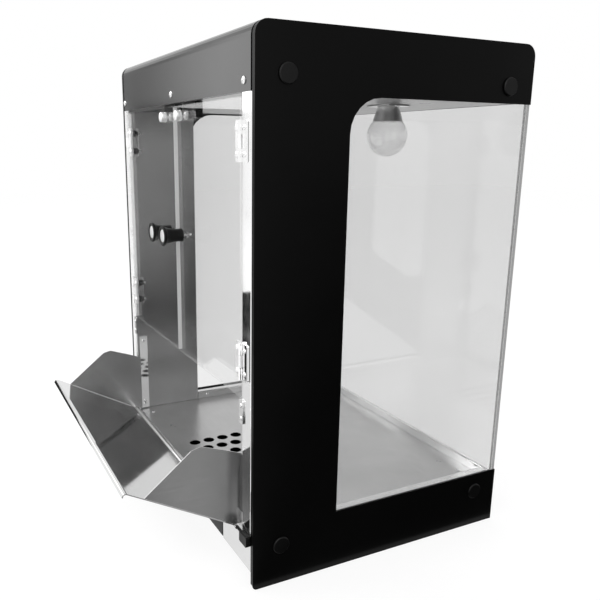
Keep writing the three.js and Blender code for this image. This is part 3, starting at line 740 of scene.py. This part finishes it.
@dataclass
class Shell:
    """Black side panels and roof, the ceiling, the base and their screws."""

    palette: Palette
    header_screw: Screw = Screw(4.3, 2.4)
    screw_height: float = 592.5
    screw_places: tuple[float, ...] = (-235.0, -7.0, 224.0)

    def build(self) -> None:
        """Dresses the shell's nodes and adds the header's screws."""
        dress(["roof_cover"], self.palette.paint)
        dress(["rear_apron", "side_panel_left", "side_panel_right"], self.palette.matt_paint)
        # The ceiling takes the brushed steel with painted shade.
        dress(["ceiling_panel"], self.palette.ceiling_steel_painted_shade)
        dress(["base_pan"], self.palette.floor_steel)
        dress(["front_apron"], self.palette.bright_steel)
        caps = [f"panel_cap_{side}_{row}_{column}" for side in SIDES for row in ("bottom", "top")
                for column in ("front", "rear")]
        dress(caps, self.palette.black_plastic)
        front = spots("roof_cover")[0].y
        heads = [
            self.header_screw.shape().moved(aimed((x, front, self.screw_height), (0, -1, 0), 0.4 + x))
            for x in self.screw_places]
        place("header_screws", joined(heads), self.palette.screw_steel, "cabinet", "chrome_hardware")


@dataclass
class FrontFrame:
    """Posts beside the opening, the lining behind them, and what is screwed to them."""

    palette: Palette
    leaf_screw: Screw = Screw(3.0, 1.6)
    plate_screw: Screw = Screw(2.6, 1.4)
    screw_spread: float = 14.0
    leaf_margin: float = 6.8
    catch_spread: float = 8.0

    def build(self) -> None:
        """Dresses the posts and their fittings and adds the screws."""
        for side, sign in SIDES.items():
            leaves = [f"hinge_post_leaf_{side}_{row}" for row in ("upper", "lower")]
            # Posts, guides and post leaves take the polished steel with the painted highlight.
            dress([f"front_post_{side}", f"tray_guide_{side}", *leaves], self.palette.post_steel_painted_highlight)
            dress([f"column_liner_{side}"], self.palette.wall_steel)
            dress([f"tray_pivot_{side}", f"magnetic_catch_{side}"], self.palette.black_plastic)
            dress([f"tray_catch_{side}"], self.palette.chrome)
            heads = [*self.leaf_heads(side, sign), *self.catch_heads(side)]
            place(f"post_screws_{side}", joined(heads), self.palette.screw_steel, "cabinet", "chrome_hardware")
            guide = self.guide_heads(side, sign)
            place(f"guide_screws_{side}", joined(guide), self.palette.screw_steel, "cabinet", "chrome_hardware")

    def leaf_heads(self, side: str, sign: float) -> list[Shape]:
        """Two heads on each hinge leaf, level with the plate's front."""
        heads = []
        for row in ("upper", "lower"):
            low, high = spots(f"hinge_post_leaf_{side}_{row}")
            middle = (low.z + high.z) / 2
            across = (high.x if sign > 0 else low.x) - sign * self.leaf_margin
            for step in (-self.screw_spread, self.screw_spread):
                spot = (across, high.y - 1.2, middle + step)
                heads.append(self.leaf_screw.shape().moved(aimed(spot, (0, -1, 0), step)))
        return heads

    def catch_heads(self, side: str) -> list[Shape]:
        """Two heads on the tray's catch plate."""
        low, high = spots(f"tray_catch_{side}")
        middle = (low + high) / 2
        return [
            self.plate_screw.shape().moved(aimed((middle.x, low.y, middle.z + step), (0, -1, 0), step))
            for step in (-self.catch_spread, self.catch_spread)]

    def guide_heads(self, side: str, sign: float) -> list[Shape]:
        """A head near each end of the strip that guides the tray's wing."""
        low, high = spots(f"tray_guide_{side}")
        face = low.x if sign > 0 else high.x
        return [
            self.leaf_screw.shape().moved(aimed((face, (low.y + high.y) / 2, z), (-sign, 0, 0), z))
            for z in (low.z + 12, high.z - 8)]


@dataclass
class Doors:
    """The pair of glass doors with their leaves, bolts, strikes and knobs."""

    palette: Palette
    bolt_head: Screw = Screw(3.4, 2.0)
    nut: Nut = Nut()
    bolt_spread: float = 14.0
    leaf_margin: float = 4.2
    knob_profile: tuple[tuple[float, float], ...] = (
        (9.0, 0.3), (9.2, 1.6), (8.9, 3.0), (8.7, 6.0), (8.9, 11.0), (9.5, 16.0), (10.4, 20.5),
        (11.8, 23.8), (13.2, 25.8), (13.5, 27.4), (13.1, 28.7), (12.0, 29.0), (10.0, 28.7), (9.0, 28.0))
    face_radius: float = 8.6
    strike_profile: tuple[tuple[float, float], ...] = (
        (5.0, 0.1), (6.5, 0.3), (6.9, 0.9), (6.9, 2.4), (5.7, 2.9), (5.7, 3.5), (6.9, 4.0), (6.9, 7.4),
        (6.5, 8.5), (5.6, 8.9), (4.5, 8.9))
    strike_face: float = 8.5
    bush_profile: tuple[tuple[float, float], ...] = (
        (5.2, 0.0), (5.2, 1.2), (4.6, 3.0), (3.2, 6.4), (2.6, 7.2), (2.1, 7.3))
    pin_profile: tuple[tuple[float, float], ...] = (
        (2.0, 7.0), (2.0, 8.6), (1.7, 8.8), (2.0, 9.0), (2.0, 10.2), (1.5, 10.8))

    def build(self) -> None:
        """Builds both doors."""
        for side, sign in SIDES.items():
            body = f"door_{side}"
            dress([f"door_glass_{side}"], self.palette.door_glass)
            dress([f"hinge_door_leaf_{side}_{row}" for row in ("upper", "lower")], self.palette.satin)
            self.bolts(side, sign, body)
            self.knob(side, body)
            self.strike(side, body)

    def bolts(self, side: str, sign: float, body: str) -> None:
        """Adds a bolt through the glass at each hole of the leaves, with its conical bush inside."""
        pieces = []
        bushes = []
        glass = spots(f"door_glass_{side}")
        for row in ("upper", "lower"):
            low, high = spots(f"hinge_door_leaf_{side}_{row}")
            middle = (low.z + high.z) / 2
            for step in (-self.bolt_spread, self.bolt_spread):
                x = (low.x if sign > 0 else high.x) + sign * self.leaf_margin
                head = aimed((x, high.y - 1.2, middle + step), (0, -1, 0), step)
                pieces.append(self.bolt_head.shape().moved(head))
                inside = aimed((x, glass[1].y, middle + step), (0, 1, 0), step)
                pieces.append(turned(self.pin_profile, 32).moved(inside))
                bushes.append(turned(self.bush_profile, 40).moved(inside))
        place(f"hinge_bolts_{side}", joined(pieces), self.palette.satin, body, "chrome_hardware")
        place(f"hinge_bushes_{side}", joined(bushes), self.palette.black_plastic, body, "black_plastic")

    def knob(self, side: str, body: str) -> None:
        """Replaces the plain knob by a smooth flared one with a bright cap in its face."""
        low, high = spots(f"door_knob_{side}")
        centre = ((low.x + high.x) / 2, spots(f"door_glass_{side}")[0].y, (low.z + high.z) / 2)
        base = self.knob_profile[-1]
        profile = [*eased(self.knob_profile, 60), (base[0] * 0.98, base[1] - 0.8)]
        seat = aimed(centre, (0, -1, 0))
        body_shape = turned(profile, 72).moved(seat)
        nut = self.nut.shape().moved(aimed((centre[0], spots(f"door_glass_{side}")[1].y, centre[2]), (0, 1, 0)))
        knob = place(f"knob_grip_{side}", body_shape, self.palette.black_plastic, body, "black_plastic")
        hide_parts(f"door_knob_{side}")
        r, h = self.face_radius, base[1]
        cap = turned([(r, h - 0.7), (r, h - 0.2), (r * 0.97, h + 0.1), (r * 0.7, h + 0.35), (r * 0.3, h + 0.45)], 64)
        place(f"knob_cap_{side}", cap.moved(seat), self.palette.satin, body, "chrome_hardware")
        place(f"knob_nut_{side}", nut, self.palette.chrome, body, "chrome_hardware")

    def strike(self, side: str, body: str) -> None:
        """Replaces the plain strike by a grooved round nut outside and a round steel plate inside."""
        low, high = spots(f"door_strike_{side}")
        glass = spots(f"door_glass_{side}")
        x, z = (low.x + high.x) / 2, (low.z + high.z) / 2
        head = turned(self.strike_profile, 64)
        socket = Screw(4.4, 1.0, Recess.SOCKET, 1.4).shape().moved(Matrix.Translation((0, 0, self.strike_face * MM)))
        outside = joined([head, socket]).moved(aimed((x, glass[0].y, z), (0, -1, 0)))
        plate = turned([(3.0, 0.0), (5.0, 0.3), (5.0, 2.3), (4.6, 2.7), (2.0, 2.8)], 48)
        inside = plate.moved(aimed((x, glass[1].y, z), (0, 1, 0)))
        strike = place(f"strike_bolt_{side}", joined([outside, inside]), self.palette.satin, body, "chrome_hardware")
        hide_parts(f"door_strike_{side}")


@dataclass
class Tray:
    """The tilt-out serving tray, its wings and the bright bead along its root."""

    palette: Palette
    open_angle: float = math.radians(61.2)
    root_radius: float = 2.5
    bead_radius: float = 3.0
    bead_reach: float = 6.0
    wing_gap: float = 3.0

    def build(self) -> None:
        """Dresses the tray and adds the bead inside its root."""
        dress(["tray_panel"], self.palette.bright_steel)
        dress(["tray_wing_left", "tray_wing_right"], self.palette.wing_steel)
        low, high = spots("tray_panel")
        lean = self.open_angle
        across = high.y - self.root_radius - self.bead_reach * math.sin(lean) + self.root_radius * math.cos(lean)
        height = low.z + self.root_radius + self.bead_reach * math.cos(lean) + self.root_radius * math.sin(lean)
        half = high.x - self.wing_gap
        bead = rounded_rod(self.bead_radius, 2 * half).moved(aimed((-half, across, height), (1, 0, 0)))
        place("tray_root_bead", bead, self.palette.chrome, "tray", "chrome_hardware")


@dataclass
class Interior:
    """Fixed glass, rails, perforated floor and crumb drawer."""

    palette: Palette
    rail_screw: Screw = Screw(2.4, 1.3)
    floor_screw: Screw = Screw(3.0, 1.5)
    bead_radius: float = 1.5
    bead_end: float = 6.0

    def build(self) -> None:
        """Dresses the inside and adds its screws."""
        dress(["perforated_floor"], self.palette.floor_steel)
        dress(["crumb_drawer"], self.palette.matt_paint)
        dress(["rear_glass"], self.palette.rear_glass)
        dress(["side_glass_left", "side_glass_right"], self.palette.side_glass)
        dress(["glass_rail_left", "glass_rail_right", "glass_rail_rear"], self.palette.bright_steel)
        heads = []
        for side, sign in SIDES.items():
            low, high = spots(f"glass_rail_{side}")
            inner = low.x if sign > 0 else high.x
            for y in (low.y + 18, (low.y + high.y) / 2, high.y - 18):
                spot = (inner, y, (low.z + high.z) / 2)
                heads.append(self.rail_screw.shape().moved(aimed(spot, (-sign, 0, 0), y)))
        floor = spots("perforated_floor")
        for x in (-1.0, 1.0):
            for y in (floor[0].y + 18, floor[1].y - 22):
                spot = (x * 205, y, floor[1].z)
                heads.append(self.floor_screw.shape().moved(aimed(spot, (0, 0, 1), y)))
        place("floor_screws", joined(heads), self.palette.screw_steel, "cabinet", "chrome_hardware")
        start = (floor[0].x + self.bead_end, floor[0].y + self.bead_radius, floor[1].z)
        bead = rounded_rod(self.bead_radius, floor[1].x - floor[0].x - 2 * self.bead_end)
        place("floor_bead", bead.moved(aimed(start, (1, 0, 0))), self.palette.chrome, "cabinet", "chrome_hardware")


@dataclass
class Lamp:
    """The bulb under the ceiling, its metal collar and the plate it hangs through."""

    palette: Palette
    glass_wall: float = 0.6
    collar_join: float = 560.0
    collar_radius: float = 20.0
    throat_radius: float = 14.0
    plate_screw: Screw = Screw(2.6, 1.4)

    def build(self) -> None:
        """Builds the bulb and dresses what holds it."""
        dress(["lamp_plate"], self.palette.bright_steel)
        dress(["lamp_holder", "terminal_block"], self.palette.white_plastic)
        dress(["bulb_cap"], self.palette.cap_metal)
        low, high = spots("bulb_globe")
        radius = (high.x - low.x) / 2 * 1.0025
        centre = Vector(((low.x + high.x) / 2, (low.y + high.y) / 2, low.z + radius))
        self.globe(centre, radius)
        self.collar(centre, high.z)
        self.screws(centre)

    def globe(self, centre: Vector, radius: float) -> None:
        """Adds the globe: an arc outside from the pole to the collar, and a smaller arc back inside."""
        rise = self.collar_join - centre.z
        top = math.asin(min(rise / radius, 0.95))
        outer = [(radius * math.cos(a), radius * math.sin(a)) for a in np.linspace(-TURN / 4 + 0.02, top, 44)]
        thin = radius - self.glass_wall
        inner = [(thin * math.cos(a), thin * math.sin(a)) for a in np.linspace(top, -TURN / 4 + 0.02, 44)]
        shape = turned([*outer, *inner], 72).moved(Matrix.Translation(centre * MM))
        globe = place("bulb_glass", shape, self.palette.lamp_glass, "cabinet", "lamp_glass")
        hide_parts("bulb_globe")

    def collar(self, centre: Vector, top: float) -> None:
        """Adds the metal cone between the globe and the ceiling."""
        heights = np.array([self.collar_join - 0.6, self.collar_join, 566.0, 572.0, 577.0, 582.0, top]) - centre.z
        radii = [self.collar_radius - 1.0, self.collar_radius, 18.4, 16.4, 14.9, self.throat_radius, self.throat_radius]
        shape = turned(list(zip(radii, heights)), 64).moved(Matrix.Translation(centre * MM))
        place("bulb_collar", shape, self.palette.cap_metal, "cabinet", "lamp_cap_metal")

    def screws(self, centre: Vector) -> None:
        """Adds the heads that hold the plate to the ceiling."""
        low, high = spots("lamp_plate")
        heads = [
            self.plate_screw.shape().moved(aimed((x, centre.y, low.z), (0, 0, -1), x))
            for x in (low.x + 7, high.x - 7)]
        place("lamp_screws", joined(heads), self.palette.screw_steel, "cabinet", "chrome_hardware")


@dataclass
class Electrics:
    """Mains inlet with its pins, and the rocker switch beside it."""

    palette: Palette
    pin_width: float = 2.0
    pin_height: float = 4.0
    pin_reach: float = 10.0

    def build(self) -> None:
        """Dresses the inlet and switch and adds the three flat pins."""
        dress(["mains_inlet", "switch_frame", "switch_rocker"], self.palette.black_plastic)
        low, high = spots("mains_inlet")
        centre = (low + high) / 2
        places = [(-7.0, -1.5), (7.0, -1.5), (0.0, 2.5)]
        pins = []
        for x, z in places:
            corner = np.array([[1, 1], [-1, 1], [-1, -1], [1, -1]]) * (self.pin_width / 2, self.pin_height / 2)
            depth = np.array([0.0, self.pin_reach - 0.8, self.pin_reach])
            taper = np.array([1.0, 1.0, 0.6])[:, None, None]
            rings = np.concatenate([corner[None] * taper, np.broadcast_to(depth[:, None, None], (3, 4, 1))], axis=-1)
            spot = (centre.x + x, high.y - 13.5, centre.z + z)
            pins.append(closed_rings(rings * MM).moved(aimed(spot, (0, 1, 0))))
        place("inlet_pins", joined(pins), self.palette.chrome, "cabinet", "chrome_hardware")


# Studio


@dataclass(frozen=True)
class Card:
    """A flat card that only mirrors see: it gives polished faces something dark or bright to reflect."""

    name: str
    corners: tuple[Triple, ...]
    level: float
    far_level: float | None = None
    fade: tuple[float, float] = (0.0, 1.0)
    fade_axis: int = 1

    def build(self) -> None:
        """Adds the card, one level all over or fading along its axis from level to far_level."""
        mesh = bpy.data.meshes.new(self.name)
        mesh.from_pydata(self.corners, [], [tuple(range(len(self.corners)))])
        recipe = Recipe(self.name)
        colour: Shade | tuple = (*grey(self.level), 1.0)
        if self.far_level is not None:
            share = recipe.parts(recipe.coordinates())[self.fade_axis].ramp(*self.fade)
            colour = recipe.blend(share, grey(self.level), grey(self.far_level))
        glow = recipe.add("ShaderNodeEmission", sockets={"Color": colour, "Strength": 1.0})
        mesh.materials.append(recipe.finished(glow))
        card = bpy.data.objects.new(self.name, mesh)
        for ray in ("camera", "diffuse", "transmission", "shadow", "volume_scatter"):
            setattr(card, f"visible_{ray}", False)
        bpy.context.scene.collection.objects.link(card)


@dataclass
class Studio:
    """Pale floor, soft lamps, cards that only metal and glass mirror, and a white surround."""

    surround: float = 0.85
    floor_size: float = 14.0
    dark: float = 0.012

    def build(self) -> None:
        """Builds everything that isn't part of the cabinet."""
        self.floor()
        self.world()
        self.lamp("key", (-1.6, -2.4, 2.4), 2.0, 55.0)
        self.lamp("fill", (1.8, -1.6, 2.2), 2.4, 30.0)
        for card in self.cards():
            card.build()

    def cards(self) -> list[Card]:
        """The dark surroundings at both sides, and the soft light over the left one."""
        ground = 0.002
        right_floor = ((0.256, -0.119, ground), (1.6, 0.534, ground), (1.6, 2.3, ground), (0.256, 2.3, ground))
        right_front = ((0.256, -0.35, ground), (1.6, -0.35, ground), (1.6, 0.534, ground), (0.256, -0.119, ground))
        right_wall = ((1.6, 0.534, 0.0), (1.6, 2.4, 0.0), (1.6, 2.4, 1.4), (1.6, 0.534, 1.4))
        left_floor = (
            (-0.39, -0.165, ground), (-2.0, -0.63, ground), (-2.0, -1.135, ground), (-1.33, -0.835, ground),
            (-1.33, -0.90, ground), (0.14, -0.19, ground), (0.14, -0.165, ground))
        left_wall = ((-2.0, -1.135, 0.0), (-2.0, -0.63, 0.0), (-2.0, -0.63, 0.69), (-2.0, -1.135, 0.69))
        soft_light = ((-2.0, -1.6, 0.69), (-2.0, -0.5, 0.69), (-2.0, -0.5, 1.5), (-2.0, -1.6, 1.5))
        return [
            Card("right_floor_card", right_floor, self.dark),
            Card("right_front_card", right_front, self.dark, 0.42, (-0.28, -0.14)),
            Card("right_wall_card", right_wall, self.dark, 0.44, (0.22, 0.66), 2),
            Card("left_floor_card", left_floor, self.dark),
            Card("left_wall_card", left_wall, self.dark),
            Card("soft_light_card", soft_light, 2.2, 0.42, (-1.15, -0.62)),
        ]

    def seen(self, tree: bpy.types.NodeTree) -> bpy.types.NodeSocket:
        """One where a camera, glossy or transmitted ray asks, and nought for soft light."""
        rays = tree.nodes.new("ShaderNodeLightPath")
        result = rays.outputs["Is Camera Ray"]
        for other in ("Is Glossy Ray", "Is Transmission Ray"):
            larger = tree.nodes.new("ShaderNodeMath")
            larger.operation = "MAXIMUM"
            tree.links.new(result, larger.inputs[0])
            tree.links.new(rays.outputs[other], larger.inputs[1])
            result = larger.outputs[0]
        return result

    def floor(self) -> None:
        """Adds the floor: pale, and partly lit by itself so that it meets the white surround."""
        half = self.floor_size / 2
        mesh = bpy.data.meshes.new("studio_floor")
        mesh.from_pydata([(-half, -half, 0), (half, -half, 0), (half, half, 0), (-half, half, 0)], [], [(0, 1, 2, 3)])
        recipe = Recipe("studio_floor")
        matt = recipe.surface(Base_Color=(*grey(0.9), 1.0), Roughness=0.9, Specular_IOR_Level=0.0)
        glow = recipe.add("ShaderNodeEmission", sockets={"Color": (*grey(1.0), 1.0), "Strength": 1.06})
        share = Shade(recipe, self.seen(recipe.tree)).ramp(0, 1, 0.35, 0.78)
        mesh.materials.append(recipe.finished(recipe.mixed(share, matt, glow)))
        floor = bpy.data.objects.new("studio_floor", mesh)
        bpy.context.scene.collection.objects.link(floor)

    def world(self) -> None:
        """A white surround for what the camera and mirrors see, and a softer light on the object."""
        world = bpy.data.worlds.new("studio")
        world.use_nodes = True
        tree = world.node_tree
        tree.nodes.clear()
        level = tree.nodes.new("ShaderNodeMapRange")
        tree.links.new(self.seen(tree), level.inputs["Value"])
        level.inputs["To Min"].default_value = self.surround
        level.inputs["To Max"].default_value = 1.0
        background = tree.nodes.new("ShaderNodeBackground")
        background.inputs["Color"].default_value = (*grey(1.0), 1.0)
        tree.links.new(level.outputs[0], background.inputs["Strength"])
        output = tree.nodes.new("ShaderNodeOutputWorld")
        tree.links.new(background.outputs[0], output.inputs["Surface"])
        bpy.context.scene.world = world

    def lamp(self, name: str, place: Triple, size: float, power: float) -> None:
        """Adds a square soft lamp aimed at the cabinet's middle."""
        light = bpy.data.lights.new(name, "AREA")
        light.size = size
        light.energy = power
        lamp = bpy.data.objects.new(name, light)
        lamp.location = place
        lamp.rotation_euler = (Vector((0, 0, 0.3)) - Vector(place)).to_track_quat("-Z", "Y").to_euler()
        bpy.context.scene.collection.objects.link(lamp)


@dataclass
class Viewpoint:
    """The camera, at the place and angle the photograph was taken from."""

    place: Triple = (0.89566, -0.50481, 0.52468)
    azimuth: float = 63.5025
    elevation: float = 13.9779
    roll: float = 0.4143
    focal_pixels: float = 674.67
    centre_pixels: tuple[float, float] = (262.01, 315.35)
    sensor: float = 36.0

    def build(self) -> None:
        """Adds the camera, whose place is measured from the middle of the cabinet's depth."""
        low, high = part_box("side_panel_left")
        middle = Vector((0, (low.y + high.y) / 2, 0))
        az, el, roll = (math.radians(angle) for angle in (self.azimuth, self.elevation, self.roll))
        back = Vector((math.sin(az) * math.cos(el), -math.cos(az) * math.cos(el), math.sin(el)))
        right = (-back).cross(Vector((0, 0, 1))).normalized()
        up = right.cross(-back)
        leaning = right * math.cos(roll) + up * math.sin(roll)
        upward = up * math.cos(roll) - right * math.sin(roll)
        data = bpy.data.cameras.new("photo_camera")
        data.sensor_width = self.sensor
        data.lens = self.focal_pixels / PICTURE_SIZE * self.sensor
        data.shift_x = 0.5 - self.centre_pixels[0] / PICTURE_SIZE
        data.shift_y = self.centre_pixels[1] / PICTURE_SIZE - 0.5
        data.clip_start = 0.01
        camera = bpy.data.objects.new("photo_camera", data)
        turn = Matrix((leaning, upward, back)).transposed().to_4x4()
        camera.matrix_world = Matrix.Translation(Vector(self.place) + middle) @ turn
        bpy.context.scene.collection.objects.link(camera)
        bpy.context.scene.camera = camera


def main() -> None:
    """Builds the sub-assemblies in order, then the studio and the camera."""
    logging.basicConfig(level=logging.INFO, format="%(name)s %(message)s")
    bpy.context.scene.view_settings.view_transform = "Standard"
    palette = Palette()
    for sub_assembly in (Shell, FrontFrame, Doors, Tray, Interior, Lamp, Electrics):
        sub_assembly(palette).build()
        LOG.info("%s done", sub_assembly.__name__)
    Studio().build()
    Viewpoint().build()
    bpy.context.view_layer.update()


if __name__ == "__main__":
    main()
